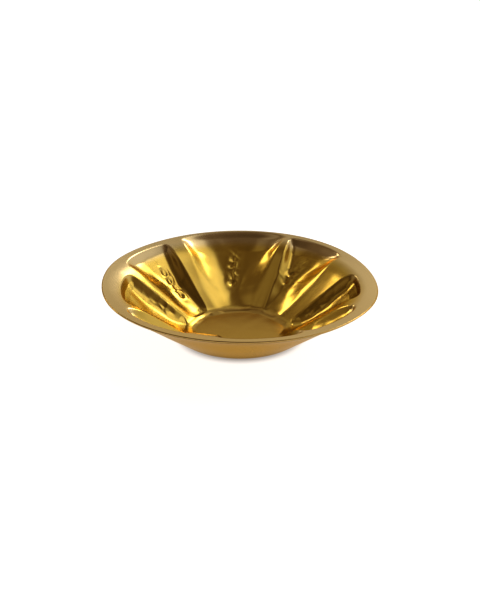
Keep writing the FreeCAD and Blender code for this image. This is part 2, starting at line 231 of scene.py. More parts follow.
@dataclass(frozen=True)
class SatinBrass:
    """Hand-rubbed brass: cloudy tone, uneven gloss, fine rubbing marks and soft hand dents, with
    painted light: a paler lip as a painted reflection and a brown bowl floor as painted shade.
    """

    name: str
    tone: tuple[float, float, float] = (0.74, 0.525, 0.13)
    warm: tuple[float, float, float] = (0.72, 0.495, 0.105)
    # painted reflection: the lip, far out and high up, is painted this paler colour, standing in for
    # its paler, whiter reflection
    pale: tuple[float, float, float] = (0.77, 0.60, 0.33)
    pale_from: float = 0.160
    pale_fade: float = 0.022
    pale_height: float = 0.066
    pale_rise: float = 0.010
    # painted shade: the bowl's floor near the middle is blended towards this brown, fading out over
    # the given radii
    brown: tuple[float, float, float] = (0.55, 0.36, 0.11)
    dull_to: float = 0.076
    dull_fade: float = 0.012
    dullness: float = 0.8
    glancing: tuple[float, float, float] = (0.80, 0.66, 0.42)
    rough: float = 0.22
    rough_swing: float = 0.04
    speck_swing: float = 0.05
    dent_height: float = 0.00008
    rub_height: float = 0.000004

    @classmethod
    def even(cls, name: str, rough: float) -> "SatinBrass":
        """The deeper brass of the outer wall and the bead, the same all over.

        Args:
            name: the material's name.
            rough: its roughness.

        Returns:
            The finish.
        """
        # here the pale colour covers everything and is the plain colour of the whole wall and bead,
        # with no painted reflection or painted shade
        return cls(name, pale=(0.60, 0.42, 0.16), glancing=(0.60, 0.46, 0.25), pale_from=-1.0,
                   pale_height=-1.0, dullness=0.0, rough=rough)

    def build(self) -> bpy.types.Material:
        """The material."""
        material, graph, shader, where = new_material(self.name)
        clouds = graph.noise(where, 9.0, 4.0, 0.55, 0.6)
        blotch = graph.noise(where, 38.0, 3.0, 0.6)
        specks = graph.noise(where, 420.0, 2.0, 0.5)
        share = (clouds * 0.65 + blotch * 0.35).smooth(0.35, 0.65)
        colour = graph.blend(share, rgba(*self.tone), rgba(*self.warm))
        across, back, height = graph.split(where)
        radius = (across * across + back * back).function("SQRT")
        # painted reflection: the lip is blended towards the pale colour where it is far out and high
        # up
        far_out = radius.smooth(self.pale_from, self.pale_from + self.pale_fade)
        high_up = height.smooth(self.pale_height, self.pale_height + self.pale_rise)
        colour = graph.blend(far_out * high_up, colour, rgba(*self.pale))
        # painted shade: the floor of the bowl, near the middle, is darkened towards brown
        dull = (1.0 - radius.smooth(self.dull_to - self.dull_fade, self.dull_to)) * self.dullness
        colour = graph.blend(dull, colour, rgba(*self.brown))
        stretched = graph.add("ShaderNodeMapping", {}, {"Vector": where, "Scale": (1.0, 1.0, 7.0)})
        rubbing = graph.noise(stretched, 900.0, 2.0, 0.6)
        rough = self.rough + (clouds - 0.5) * (2.0 * self.rough_swing)
        rough = rough + (specks - 0.5) * self.speck_swing
        dents = graph.noise(where, 60.0, 1.0, 0.4)
        height = (dents - 0.5) * self.dent_height + rubbing * self.rub_height
        bump = graph.add("ShaderNodeBump", {}, {"Height": height, "Strength": 1.0, "Distance": 1.0})
        graph.feed(shader, {"Base Color": colour, "Roughness": rough, "Normal": bump, "Metallic": 1.0,
                            "Specular Tint": rgba(*self.glancing)})
        return material


@dataclass(frozen=True)
class PlugRubber:
    """Matt black moulded rubber with a fine mould texture and a little dust."""

    name: str = "plug_rubber"
    dark: tuple[float, float, float] = (0.018, 0.018, 0.019)
    dusty: tuple[float, float, float] = (0.06, 0.058, 0.055)

    def build(self) -> bpy.types.Material:
        """The material."""
        material, graph, shader, where = new_material(self.name)
        dust = graph.noise(where, 260.0, 3.0, 0.6).smooth(0.5, 0.75)
        grain = graph.noise(where, 3000.0, 2.0, 0.6)
        colour = graph.blend(dust, rgba(*self.dark), rgba(*self.dusty))
        rough = 0.6 + dust * 0.2
        bump = graph.add("ShaderNodeBump", {}, {"Height": grain * 0.00003, "Distance": 1.0})
        graph.feed(shader, {"Base Color": colour, "Roughness": rough, "Normal": bump})
        return material


@dataclass(frozen=True)
class BrownFelt:
    """Pressed wool felt: matted fibres, flecks and a dull surface."""

    name: str = "brown_felt"
    dark: tuple[float, float, float] = (0.045, 0.028, 0.017)
    light: tuple[float, float, float] = (0.16, 0.105, 0.066)

    def build(self) -> bpy.types.Material:
        """The material."""
        material, graph, shader, where = new_material(self.name)
        matted = graph.noise(where, 1500.0, 3.0, 0.7, 2.5)
        flecks = graph.noise(where, 420.0, 2.0, 0.5).smooth(0.4, 0.7)
        colour = graph.blend(matted * 0.6 + flecks * 0.4, rgba(*self.dark), rgba(*self.light))
        bump = graph.add("ShaderNodeBump", {}, {"Height": matted * 0.0003, "Distance": 1.0})
        graph.feed(shader, {"Base Color": colour, "Roughness": 0.95, "Normal": bump})
        return material


# ---- the form of the bowl ----

def smooth_step(value: Number) -> Number:
    """0 below 0, 1 above 1, level at both ends."""
    value = np.clip(value, 0.0, 1.0)
    return value * value * (3.0 - 2.0 * value)


def soft_min(first: Number, second: Number, width: float) -> Number:
    """The lower of two heights, rounded over where they are closer than width."""
    share = np.clip(0.5 + 0.5 * (second - first) / width, 0.0, 1.0)
    return second + (first - second) * share - width * share * (1.0 - share)


def soft_max(first: Number, second: Number, width: float) -> Number:
    """The higher of two heights, rounded where they are closer than width."""
    return -soft_min(-first, -second, width)


def turn_between(azimuth: Number, middle: float) -> Number:
    """Signed angle from middle to azimuth, in degrees, the short way round."""
    return (azimuth - middle + 180.0) % 360.0 - 180.0


@dataclass(frozen=True)
class Swing:
    """One swing of the rim out of its plane."""

    middle: float
    spread: float
    height: float


@dataclass(frozen=True)
class Pocket:
    """One pocket pressed out of the liner, with the line where the sheet gathered in folds.

    Azimuths and half widths are in degrees, radii in metres.  The shift, in half widths, is how far
    the deepest line lies from the axis.  The pocket is deepest at its pit.  The fold runs from its
    knot towards the top, at its own angle from the axis.
    """

    middle: float
    lean: float
    foot_half: float
    top_half: float
    foot: float
    top: float
    pit: float
    shift: float
    knot: float
    fold: float
    fold_lean: float
    gather: float = 1.0

    def axis(self, rise: Number) -> Number:
        """Azimuth of the pocket's middle, rise being 0 at its foot and 1 at its top."""
        return self.middle + self.lean * (rise - 0.5)

    def half(self, rise: Number) -> Number:
        """Half width in degrees."""
        return self.foot_half + (self.top_half - self.foot_half) * np.clip(rise, 0.0, 1.0)

    def rise(self, radius: Number) -> Number:
        """0 at the foot and 1 at the top."""
        return (radius - self.foot) / (self.top - self.foot)

    def aside(self, radius: Number, azimuth: Number) -> Number:
        """Way from the gathered line to the pocket's sides, -1 and 1."""
        rise = self.rise(radius)
        side = turn_between(azimuth, self.axis(rise)) / self.half(rise) - self.shift
        return side / np.where(side > 0.0, 1.0 - self.shift, 1.0 + self.shift)

    def past_knot(self, radius: Number) -> Number:
        """0 at the fold's knot and 1 at the pocket's top."""
        return (radius - self.knot) / (self.top - self.knot)

    def fold_line(self, radius: Number) -> Number:
        """Azimuth of the gathered fold."""
        return self.middle + self.fold + self.fold_lean * self.past_knot(radius)


POCKETS = (
    Pocket(-93.0, -2.0, 18.0, 19.0, 0.077, 0.172, 0.104, 0.20, 0.104, 15.0, 2.0, 0.7),
    Pocket(-54.0, 3.0, 15.0, 15.0, 0.072, 0.188, 0.131, 0.55, 0.113, 3.0, 5.0, 1.2),
    Pocket(-5.0, 4.0, 22.5, 25.5, 0.064, 0.196, 0.106, 0.00, 0.114, -1.0, 5.0, 1.0),
    Pocket(42.5, -5.0, 14.5, 15.5, 0.063, 0.190, 0.126, -0.50, 0.124, -9.0, 7.0, 1.2),
    Pocket(89.0, 0.0, 13.5, 14.0, 0.076, 0.174, 0.104, -0.20, 0.104, -10.5, -1.0, 0.8),
    Pocket(131.0, 2.0, 17.0, 19.0, 0.074, 0.182, 0.118, 0.10, 0.118, 4.0, 3.0, 0.7),
    Pocket(172.0, -3.0, 17.0, 19.0, 0.072, 0.186, 0.110, -0.10, 0.110, -3.0, 5.0, 0.7),
    Pocket(-139.0, 3.0, 17.0, 20.0, 0.074, 0.184, 0.114, 0.15, 0.114, 5.0, -4.0, 0.7),
)

SWINGS = (Swing(88.0, 24.0, -0.0075), Swing(-112.0, 15.0, -0.0014), Swing(-75.0, 15.0, 0.0025),
          Swing(150.0, 18.0, -0.0022))


@dataclass(frozen=True)
class Fold:
    """The gathered fold in each pocket: a crease between two banks, random crumples and a knot."""

    bank_height: float = 0.0011
    bank_width: float = 0.012
    crease_share: float = 1.15
    crease_width: float = 0.0035
    crumple_height: float = 0.0009
    crumple_width: float = 0.008
    crumple_lift: float = 1.4
    waves: int = 4
    shortest: float = 0.013
    longest: float = 0.026
    knot_height: float = 0.0026
    knot_width: float = 0.0105
    knot_squeeze: float = 0.9
    core_width: float = 0.0052
    core_share: float = 1.25
    lead_in: float = 0.08
    fade_end: float = 0.85
    fade: float = 0.45
    seed: int = 11

    def crumples(self, near: Number, radius: Number, chance: np.random.Generator) -> Number:
        """Random crumples beside the fold.

        Args:
            near: distances from the fold.
            radius: radii of the points.
            chance: where the waves' directions, lengths and phases are drawn.

        Returns:
            Their height, 1 on a crumple's edge.
        """
        total = 0.0 * radius
        for turn, length, phase in zip(chance.uniform(0.0, math.pi, self.waves),
                                       chance.uniform(self.shortest, self.longest, self.waves),
                                       chance.uniform(0.0, 6.3, self.waves)):
            way = (math.cos(turn) * near + math.sin(turn) * radius) * 2.0 * math.pi / length
            total = total + np.sin(way + phase)
        return (1.0 - np.abs(total) / self.crumple_lift) * np.exp(-(near / self.crumple_width) ** 2)

    def relief(self, radius: Number, azimuth: Number) -> Number:
        """Height of all the folds.

        Args:
            radius: radii of the points.
            azimuth: their azimuths.

        Returns:
            How far they stand above the smooth sheet.
        """
        total = 0.0 * radius
        chance = np.random.default_rng(self.seed)
        for pocket in POCKETS:
            near = np.radians(turn_between(azimuth, pocket.fold_line(radius))) * radius
            up = pocket.past_knot(radius)
            along = smooth_step((up + self.lead_in) / (2.0 * self.lead_in))
            along = along * smooth_step((self.fade_end - up) / self.fade)
            crease = self.crease_share * np.exp(-np.abs(near) / self.crease_width)
            bank = np.exp(-(near / self.bank_width) ** 2) - crease
            crumple = self.crumples(near, radius, chance)
            fold = self.bank_height * bank + self.crumple_height * crumple
            total = total + fold * along * pocket.gather
            away = np.hypot(near / self.knot_squeeze, radius - pocket.knot)
            core = 1.0 - self.core_share * np.exp(-(away / self.core_width) ** 2)
            ring = np.exp(-(away / self.knot_width) ** 2) * core
            total = total + self.knot_height * ring * pocket.gather
        return total


@dataclass(frozen=True)
class Unevenness:
    """Slow waves of hand-pressed sheet, bent so that they never line up, and finer ones."""

    slow_height: float = 0.00038
    fine_height: float = 0.00006
    across_wave: float = 118.0
    across_bend: float = 63.0
    back_wave: float = 141.0
    back_bend: float = 57.0
    fine_wave: float = 214.0
    fine_cross: float = 176.0

    def height(self, radius: Number, azimuth: Number) -> Number:
        """How far the waves stand above the smooth sheet."""
        across, back = radius * np.sin(np.radians(azimuth)), radius * np.cos(np.radians(azimuth))
        first = np.sin(across * self.across_wave + 1.3 + 1.1 * np.sin(back * self.across_bend))
        second = np.sin(back * self.back_wave + 0.4 + 1.3 * np.sin(across * self.back_bend + 2.0))
        third = np.sin((across + back) * self.fine_wave + 2.1)
        third = third * np.sin((across - back) * self.fine_cross)
        return self.slow_height * first * second + self.fine_height * third


FOLD = Fold()
UNEVENNESS = Unevenness()


@dataclass(frozen=True)
class Form:
    """The heights of both skins over the resting plane, as functions of radius and azimuth."""

    rim_radius: float
    base_height: float
    rim_height: float = 0.085
    edge_inset: float = 0.0014
    rim_stack: float = 0.0024
    sheet: float = 0.001
    skin_gap: float = 0.0006
    foot_radius: float = 0.087
    foot_round: float = 0.006
    wall_hollow: float = 0.001
    bend_radius: float = 0.130
    flange_slope: float = math.radians(8.0)
    flange_round: float = 0.012
    ridge_slope: float = math.radians(36.5)
    floor_height: float = 0.009
    floor_round: float = 0.004
    crest_height: float = 0.0014
    crest_width: float = 0.0045
    pocket_floor: float = 0.0066
    pocket_slope: float = 0.54
    foot_drop: float = 0.0016
    pit_drop: float = 0.003
    pit_reach: float = 0.022
    toe: float = 0.012
    wall: float = 0.010
    edge_round: float = 0.26
    steepness: float = 1.25
    steepening: float = 2.0
    sharp: float = 0.10
    blunt: float = 1.6
    fold_reach: float = 0.055
    ridge_foot: float = 0.068
    ridge_share: float = 0.35
    crest_spread: float = 0.6
    stack_sheets: float = 2.5
    relief_from: float = 0.12
    hand_least: float = 0.25
    hand_from: float = 0.3
    hand_fade: float = 0.03
    lowest_relief: float = 0.0008

    @property
    def edge_radius(self) -> float:
        """Radius of the two skins' own edges, inside the bead."""
        return self.rim_radius - self.edge_inset

    @property
    def wall_slope(self) -> float:
        """Rise of the outer wall for each metre outwards."""
        rise = self.rim_height - self.rim_stack - self.base_height
        return rise / (self.rim_radius - self.foot_radius)

    def lift(self, azimuth: Number) -> Number:
        """How far the rim stands above or below its level plane."""
        return sum(s.height * np.exp(-0.5 * (turn_between(azimuth, s.middle) / s.spread) ** 2)
                   for s in SWINGS)

    def inside(self, radius: Number) -> Number:
        """0 at the bend radius and 1 at the rim."""
        return np.clip((radius - self.bend_radius) / (self.rim_radius - self.bend_radius), 0.0, 1.0)

    def outer(self, radius: Number, azimuth: Number) -> Number:
        """Outside face of the outer skin."""
        inside = self.inside(radius)
        hollow = self.wall_hollow * PEAK_SCALE * inside ** 2 * (1.0 - inside)
        cone = self.base_height + (radius - self.foot_radius) * self.wall_slope + hollow
        return soft_max(cone + self.lift(azimuth) * inside ** 2, self.base_height, self.foot_round)

    def crest(self, azimuth: Number) -> Number:
        """Radius of the floor's outline."""
        pull, weight = self.ridge_share * self.ridge_foot, self.ridge_share
        for pocket in POCKETS:
            turn = turn_between(azimuth, float(pocket.axis(0.0)))
            near = np.exp(-0.5 * (turn / (self.crest_spread * pocket.foot_half)) ** 2)
            pull = pull + near * pocket.foot
            weight = weight + near
        return pull / weight

    def plain(self, radius: Number, azimuth: Number) -> Number:
        """Inside face of the liner where nothing is pressed out."""
        lip = self.rim_height - (self.rim_radius - radius) * math.tan(self.flange_slope)
        lip = lip + self.lift(azimuth) * self.inside(radius) ** 2
        ridge = self.floor_height + (radius - self.crest(azimuth)) * math.tan(self.ridge_slope)
        return soft_max(soft_min(lip, ridge, self.flange_round), self.floor_height, self.floor_round)

    def hollow(self, pocket: Pocket, radius: Number, azimuth: Number) -> Number:
        """Height of a pocket's deepest line: a straight slope, lower round its pit."""
        slope = self.floor_height - self.foot_drop + (radius - pocket.foot) * self.pocket_slope
        dip = self.pit_drop * np.exp(-((radius - pocket.pit) / self.pit_reach) ** 2) * pocket.gather
        return np.maximum(slope - dip, self.lowest(radius, azimuth))

    def lowest(self, radius: Number, azimuth: Number) -> Number:
        """Lowest the liner's inside face can go, over the outer skin and the floor of the bowl."""
        stack = self.stack_sheets * self.sheet + self.skin_gap
        return np.maximum(self.outer(radius, azimuth) + stack, self.pocket_floor)

    def pressed(self, radius: Number, azimuth: Number) -> tuple[Number, Number]:
        """How far the sheet is pressed out.

        Args:
            radius: radii of the points.
            azimuth: their azimuths.

        Returns:
            0 on the ridges, lip and floor and 1 in the middle of a pocket, and the dent's depth.
        """
        share, dent = 0.0 * radius, 0.0 * radius
        plain = self.plain(radius, azimuth)
        for pocket in POCKETS:
            aside = pocket.aside(radius, azimuth)
            away = np.hypot(radius - pocket.pit, self.pit_reach) - self.pit_reach
            blunt = self.sharp + self.blunt * away / self.fold_reach + max(1.0 - pocket.gather, 0.0)
            arch = (np.hypot(aside, blunt) - blunt) / (np.hypot(1.0, blunt) - blunt)
            low = np.clip(1.0 - (radius - pocket.foot) / self.toe, 0.0, 3.0)
            high = np.clip(1.0 - (pocket.top - radius) / self.wall, 0.0, 3.0)
            above = np.clip((radius - pocket.pit) / (pocket.top - pocket.pit), 0.0, 1.0)
            keen = self.steepness + self.steepening * above
            part = soft_max(1.0 - arch ** keen - low ** 2 - high ** 2, 0.0, self.edge_round)
            share = np.maximum(share, part)
            room = np.maximum(plain - self.hollow(pocket, radius, azimuth), 0.0)
            dent = np.maximum(dent, part * room)
        return share, dent

    def liner(self, radius: Number, azimuth: Number) -> Number:
        """Inside face of the liner."""
        pressed, dent = self.pressed(radius, azimuth)
        away = (radius - self.crest(azimuth)) / self.crest_width
        growth = (1.0 - self.hand_least) * smooth_step(pressed / self.hand_from)
        hand = UNEVENNESS.height(radius, azimuth) * (self.hand_least + growth)
        hand = hand * smooth_step((self.edge_radius - radius) / self.hand_fade)
        relief = FOLD.relief(radius, azimuth) * smooth_step(pressed / self.relief_from)
        height = self.plain(radius, azimuth) - dent + hand + relief
        height = height + self.crest_height * np.exp(-away * away)
        return np.maximum(height, self.lowest(radius, azimuth) - self.lowest_relief)


# ---- meshes ----

def link(mesh: bpy.types.Mesh, name: str) -> bpy.types.Object:
    """Puts a mesh in the scene as an object at the origin."""
    piece = bpy.data.objects.new(name, mesh)
    bpy.context.scene.collection.objects.link(piece)
    return piece


def signed_volume(mesh: bpy.types.Mesh) -> float:
    """Volume inside a closed mesh, negative where its faces point inwards."""
    mesh.calc_loop_triangles()
    points = np.empty(len(mesh.vertices) * 3)
    mesh.vertices.foreach_get("co", points)
    corners = np.empty(len(mesh.loop_triangles) * 3, np.int32)
    mesh.loop_triangles.foreach_get("vertices", corners)
    first, second, third = points.reshape(-1, 3)[corners.reshape(-1, 3)].transpose(1, 0, 2)
    return float(np.einsum("ij,ij->i", first, np.cross(second, third)).sum() / 6.0)


def finish_mesh(mesh: bpy.types.Mesh, sharp: float) -> None:
    """Turns the faces outwards and shades them smooth but for edges sharper than given degrees."""
    if signed_volume(mesh) < 0.0:
        mesh.flip_normals()
    mesh.shade_smooth()
    mesh.set_sharp_from_angle(angle=math.radians(sharp))


def mesh_from_rings(name: str, rings: Sequence[Array]) -> bpy.types.Mesh:
    """A skin over rings of points, each a closed loop with as many points as the next.

    Args:
        name: the mesh's name.
        rings: arrays of points, (count, 3) each; a ring with one point is a pole.

    Returns:
        The mesh, its poles closed with triangles.
    """
    starts = np.cumsum([0] + [len(ring) for ring in rings]).tolist()
    faces: list[tuple[int, ...]] = []
    for high in range(1, len(rings)):
        low = high - 1
        count = max(len(rings[low]), len(rings[high]))
        for index in range(count):
            after = (index + 1) % count
            if len(rings[low]) == 1:
                faces.append((starts[low], starts[high] + index, starts[high] + after))
            elif len(rings[high]) == 1:
                faces.append((starts[low] + index, starts[high], starts[low] + after))
            else:
                faces.append((starts[low] + index, starts[high] + index,
                              starts[high] + after, starts[low] + after))
    mesh = bpy.data.meshes.new(name)
    mesh.from_pydata(np.concatenate(rings).tolist(), [], faces)
    mesh.update()
    return mesh


def polar(radius: Number, azimuth: Array, height: Array) -> Array:
    """Points at the given radii, azimuths and heights."""
    angle = np.radians(azimuth)
    return np.column_stack([radius * np.sin(angle), radius * np.cos(angle), height])


def turned(outline: Sequence[tuple[float, float]], around: int) -> list[Array]:
    """Rings of a turned shape from its outline's radii and heights, a pole where a radius is 0."""
    azimuth = np.arange(around) * 360.0 / around
    return [polar(radius, azimuth, np.full(around, height)) if radius > 0.0
            else np.array([[0.0, 0.0, height]]) for radius, height in outline]


class NodeMesh:
    """A geometry node tree with named inputs, applied once to make a plain mesh."""

    def __init__(self, name: str) -> None:
        self.name = name
        self.tree = bpy.data.node_groups.new(name, "GeometryNodeTree")
        self.graph = Graph(self.tree)
        self.tree.interface.new_socket("Geometry", in_out="OUTPUT", socket_type="NodeSocketGeometry")
        self.source = self.graph.make("NodeGroupInput")
        self.values: dict[str, object] = {}

    def _input(self, name: str, kind: str, value: object) -> Term:
        """Adds an input, keeps its value and returns it as a term."""
        socket = self.tree.interface.new_socket(name, in_out="INPUT", socket_type=kind)
        self.values[socket.identifier] = value
        outputs = self.source.outputs
        return Term(self.graph, next(s for s in outputs if s.identifier == socket.identifier))

    def given(self, sizes: dict[str, float]) -> list[Term]:
        """Named inputs, in order, each with the value that it gets."""
        return [self._input(name, "NodeSocketFloat", float(value)) for name, value in sizes.items()]

    def material(self, material: bpy.types.Material) -> Term:
        """The input that holds the finish."""
        return self._input("Finish", "NodeSocketMaterial", material)

    def apply(self, shape: Term, finish: bpy.types.Material) -> bpy.types.Mesh:
        """Ends the tree, runs it and keeps only the mesh.

        Args:
            shape: the finished geometry.
            finish: its material.

        Returns:
            The plain mesh.
        """
        real = self.graph.add("GeometryNodeRealizeInstances", {}, {"Geometry": shape})
        dressed = self.graph.add("GeometryNodeSetMaterial", {},
                                 {"Geometry": real, "Material": self.material(finish)})
        self.graph.make("NodeGroupOutput", {}, {0: dressed})
        carrier = link(bpy.data.meshes.new(self.name + "_seed"), self.name + "_carrier")
        modifier = carrier.modifiers.new("nodes", "NODES")
        modifier.node_group = self.tree
        for identifier, value in self.values.items():
            modifier[identifier] = value
        depsgraph = bpy.context.evaluated_depsgraph_get()
        mesh = bpy.data.meshes.new_from_object(carrier.evaluated_get(depsgraph))
        mesh.name = self.name
        carrier.modifiers.remove(modifier)
        bpy.data.objects.remove(carrier)
        return mesh


def field_lift(maker: NodeMesh, azimuth: Term) -> Term:
    """The rim's lift as a field, with each swing's sizes as named inputs."""
    total: Optional[Term] = None
    for number, swing in enumerate(SWINGS, 1):
        middle, spread, height = maker.given({
            f"Swing {number} {size}": value for size, value in asdict(swing).items()})
        turn = (azimuth - middle).function("WRAP", 180.0, -180.0) / spread
        part = height * (turn * turn * -0.5).function("EXPONENT")
        total = part if total is None else total + part
    return total


# ---- the pieces ----

class Piece:
    """One piece of the bowl.  Each kind makes its own mesh."""

    sharp: ClassVar[Optional[float]] = 50.0

    def mesh(self, finish: bpy.types.Material) -> bpy.types.Mesh:
        """The piece's mesh with its material, named as the piece is."""
        raise NotImplementedError

    def build(self, finish: bpy.types.Material) -> bpy.types.Object:
        """Makes the mesh, finishes it where the kind asks for that, and puts it in the scene.

        Args:
            finish: the piece's material.

        Returns:
            The piece, at the origin.
        """
        mesh = self.mesh(finish)
        if self.sharp is not None:
            finish_mesh(mesh, self.sharp)
        return link(mesh, mesh.name)


@dataclass
class Liner(Piece):
    """The pressed liner: a fine polar mesh on top, a coarser one below, joined at the rim."""

    form: Form
    around: int = 560
    rows: int = 140
    floor_rings: tuple[float, ...] = (0.012, 0.024, 0.036, 0.048, 0.056)
    below_rows: int = 10
    below_sheets: float = 1.25
    seam_sheets: float = 1.3

    def radii(self) -> Array:
        """Radii of the rings of the inside face, closer where the form is busy."""
        fine = np.linspace(self.floor_rings[-1], self.form.edge_radius, self.rows + 1)[1:]
        return np.concatenate([self.floor_rings, fine])

    def mesh(self, finish: bpy.types.Material) -> bpy.types.Mesh:
        """The liner as a closed sheet."""
        form = self.form
        azimuth = np.arange(self.around) * 360.0 / self.around
        rings = [np.array([[0.0, 0.0, form.floor_height]])]
        for radius in self.radii():
            flat = np.full(self.around, radius)
            rings.append(polar(radius, azimuth, form.liner(flat, azimuth)))
        lower = np.linspace(form.edge_radius, self.floor_rings[0], self.below_rows)
        for radius in lower:
            flat = np.full(self.around, radius)
            if radius == form.edge_radius:
                height = form.outer(flat, azimuth) + form.sheet * self.seam_sheets
            else:
                height = form.liner(flat, azimuth) - form.sheet * self.below_sheets
            rings.append(polar(radius, azimuth, height))
        rings.append(np.array([[0.0, 0.0, form.floor_height - form.sheet]]))
        mesh = mesh_from_rings("pressed_liner", rings)
        mesh.materials.append(finish)
        return mesh


@dataclass
class ConicalWall(Piece):
    """The plain outer wall, made by a node tree that turns a grid into a drilled sheet."""

    form: Form
    vent_radius: float = 0.003
    around: int = 360
    along: int = 150

    def mesh(self, finish: bpy.types.Material) -> bpy.types.Mesh:
        """The wall as a closed sheet with the vent hole through its base."""
        form = self.form
        maker = NodeMesh("conical_wall")
        graph = maker.graph
        edge, rim, vent, base, foot, soft, slope, hollow, bend, sheet = maker.given({
            "Edge radius": form.edge_radius, "Rim radius": form.rim_radius,
            "Vent radius": self.vent_radius, "Base height": form.base_height,
            "Foot radius": form.foot_radius, "Foot rounding": form.foot_round,
            "Wall slope": form.wall_slope, "Wall hollow": form.wall_hollow,
            "Bend radius": form.bend_radius, "Sheet": form.sheet})
        grid = graph.add("GeometryNodeMeshGrid", {}, {
            "Size X": 1.0, "Size Y": 1.0, "Vertices X": self.around + 1, "Vertices Y": self.along + 1})
        across, along, _ = graph.split(graph.add("GeometryNodeInputPosition"))
        azimuth = (across + 0.5) * 360.0
        way = along + 0.5
        step = 1.0 / self.along
        last = way > 1.0 - 0.5 * step
        topside = (way > 0.5) * (1.0 - last)
        reach = ((1.0 - abs(way * 2.0 - (1.0 - step))) * (1.0 + 2.0 * step)).clamped()
        reach = reach * (1.0 - last)
        radius = vent + (edge - vent) * reach
        inside = ((radius - bend) / (rim - bend)).clamped()
        rise = hollow * PEAK_SCALE * inside * inside * (1.0 - inside)
        cone = base + (radius - foot) * slope + rise + field_lift(maker, azimuth) * inside * inside
        share = (0.5 + (cone - base) * 0.5 / soft).clamped()
        height = base + (cone - base) * share + soft * share * (1.0 - share)
        height = height + topside * sheet * (1.0 + share * 0.2)
        angle = azimuth.function("RADIANS")
        point = graph.add("ShaderNodeCombineXYZ", {}, {
            0: radius * angle.function("SINE"), 1: radius * angle.function("COSINE"), 2: height})
        moved = graph.add("GeometryNodeSetPosition", {}, {"Geometry": grid, "Position": point})
        joined = graph.add("GeometryNodeMergeByDistance", {}, {"Geometry": moved, "Distance": 1e-6})
        return maker.apply(joined, finish)


@dataclass
class RimBead(Piece):
    """The brazed bead: a half-round section swept along the wavy rim by a node tree."""

    sharp: ClassVar[Optional[float]] = 60.0

    form: Form
    points: int = 480
    section_points: int = 14

    def mesh(self, finish: bpy.types.Material) -> bpy.types.Mesh:
        """The bead as one closed ring."""
        form = self.form
        maker = NodeMesh("brazed_bead")
        graph = maker.graph
        edge, level, width, stack = maker.given({
            "Edge radius": form.edge_radius,
            "Middle height": form.rim_height - 0.5 * form.rim_stack - self.tuck(),
            "Width": form.edge_inset, "Height": form.rim_stack})
        circle = graph.add("GeometryNodeCurvePrimitiveCircle", {}, {
            "Resolution": self.points, "Radius": edge}, "Curve")
        across, back, _ = graph.split(graph.add("GeometryNodeInputPosition"))
        azimuth = across.function("ARCTAN2", back)
        height = level + field_lift(maker, azimuth.function("DEGREES"))
        rise = graph.add("ShaderNodeCombineXYZ", {}, {0: 0.0, 1: 0.0, 2: height})
        path = graph.add("GeometryNodeSetPosition", {}, {"Geometry": circle, "Offset": rise})
        path = graph.add("GeometryNodeSetCurveNormal", {"mode": "Z_UP"}, {"Curve": path})
        arc = graph.add("GeometryNodeCurveArc", {}, {
            "Resolution": self.section_points, "Radius": 0.5, "Start Angle": -0.5 * math.pi,
            "Sweep Angle": math.pi}, "Curve")
        shut = graph.add("GeometryNodeSetSplineCyclic", {}, {"Geometry": arc, "Cyclic": True})
        size = graph.add("ShaderNodeCombineXYZ", {}, {0: width * 2.0, 1: stack, 2: 1.0})
        section = graph.add("GeometryNodeTransform", {}, {"Geometry": shut, "Scale": size})
        tube = graph.add("GeometryNodeCurveToMesh", {}, {"Curve": path, "Profile Curve": section})
        return maker.apply(tube, finish)

    def tuck(self) -> float:
        """How far the lip has dropped where the skins end, just inside the rim."""
        return self.form.edge_inset * math.tan(self.form.flange_slope)


@dataclass
class VentPlug(Piece):
    """The rubber plug: a turned head, stem and barb with softened corners."""

    sharp: ClassVar[Optional[float]] = 35.0

    low: float
    high: float
    base_low: float
    sheet: float
    head_radius: float = 0.005
    stem_radius: float = 0.003
    barb_radius: float = 0.0036
    soft: float = 0.0003
    around: int = 48

    def mesh(self, finish: bpy.types.Material) -> bpy.types.Mesh:
        """The plug."""
        top = self.base_low + self.sheet
        dish = 0.0002
        head, low, cut = self.head_radius, self.low, 0.3 * self.soft
        outline = [
            (0.0, low + dish), (0.4 * head, low + 0.6 * dish), (head - self.soft, low),
            (head - cut, low + cut), (head, low + self.soft), (head, self.base_low),
            (self.stem_radius, self.base_low), (self.stem_radius, top), (self.barb_radius, top),
            (self.barb_radius, top + self.soft), (0.62 * self.barb_radius, self.high - self.soft),
            (0.5 * self.barb_radius, self.high), (0.0, self.high)]
        mesh = mesh_from_rings("rubber_plug", turned(outline, self.around))
        mesh.materials.append(finish)
        return mesh


